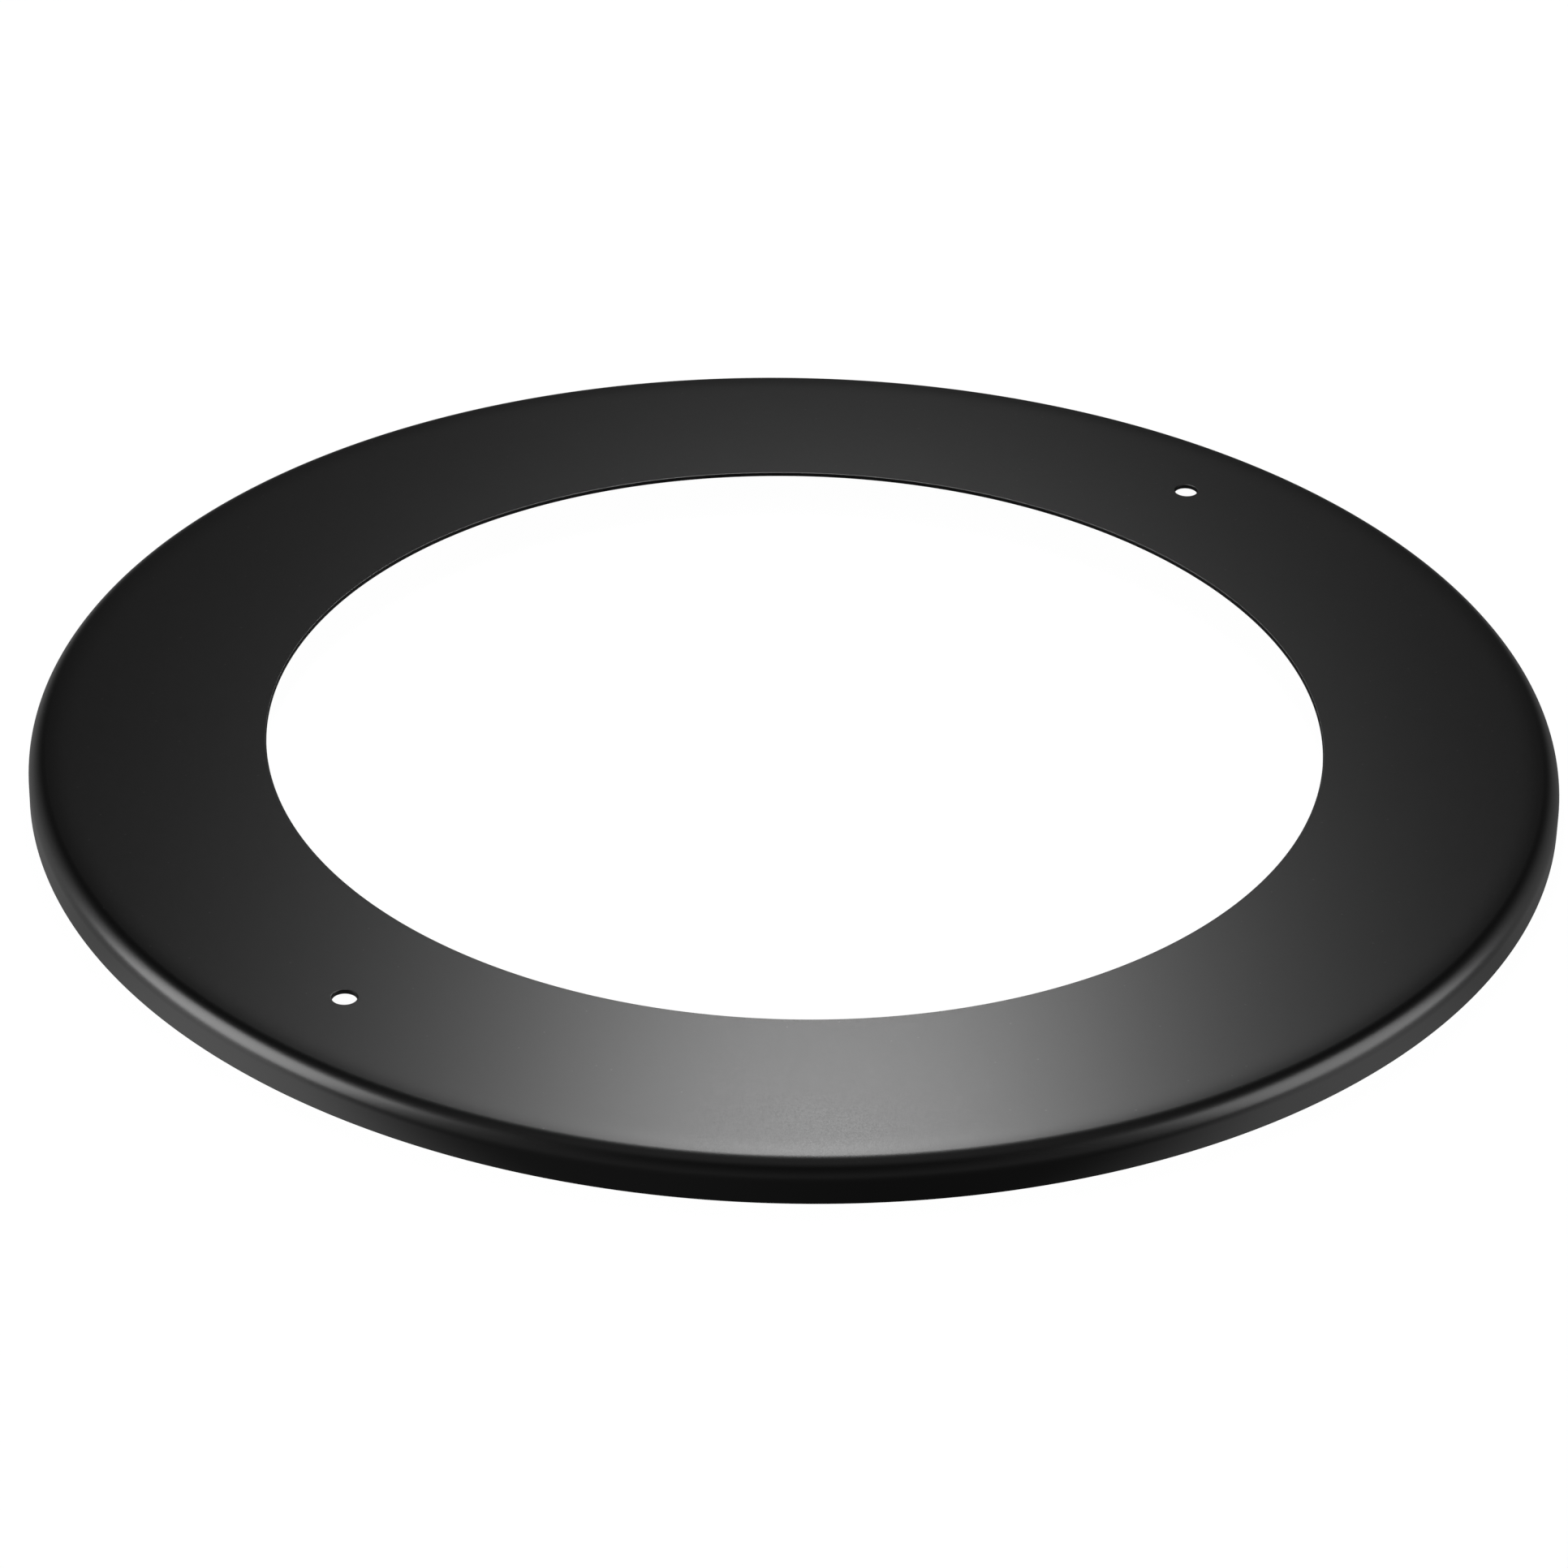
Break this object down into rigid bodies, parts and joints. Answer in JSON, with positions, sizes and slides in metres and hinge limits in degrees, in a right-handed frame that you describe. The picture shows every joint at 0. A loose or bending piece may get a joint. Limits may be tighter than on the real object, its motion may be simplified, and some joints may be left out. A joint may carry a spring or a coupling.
{
  "type": "pipe trim collar",
  "caption": "Flat black steel trim collar for a pipe: a pressed ring with a wide round opening, a rolled edge turned down into a short skirt, small screw holes and a foam seal behind.",
  "frame": {"origin": "centre of the ring, in the plane that the skirt's rim stands on", "axes": "+Z out of the visible face, along the pipe's axis; the screw holes lie on X"},
  "size_m": [0.2286, 0.2286, 0.0063],
  "materials": {
    "satin_black_paint": "satin",
    "black_foam": "matte"
  },
  "bodies": {
    "root": {"trim_ring": "satin_black_paint", "foam_seal": "black_foam"}
  },
  "joints": []
}
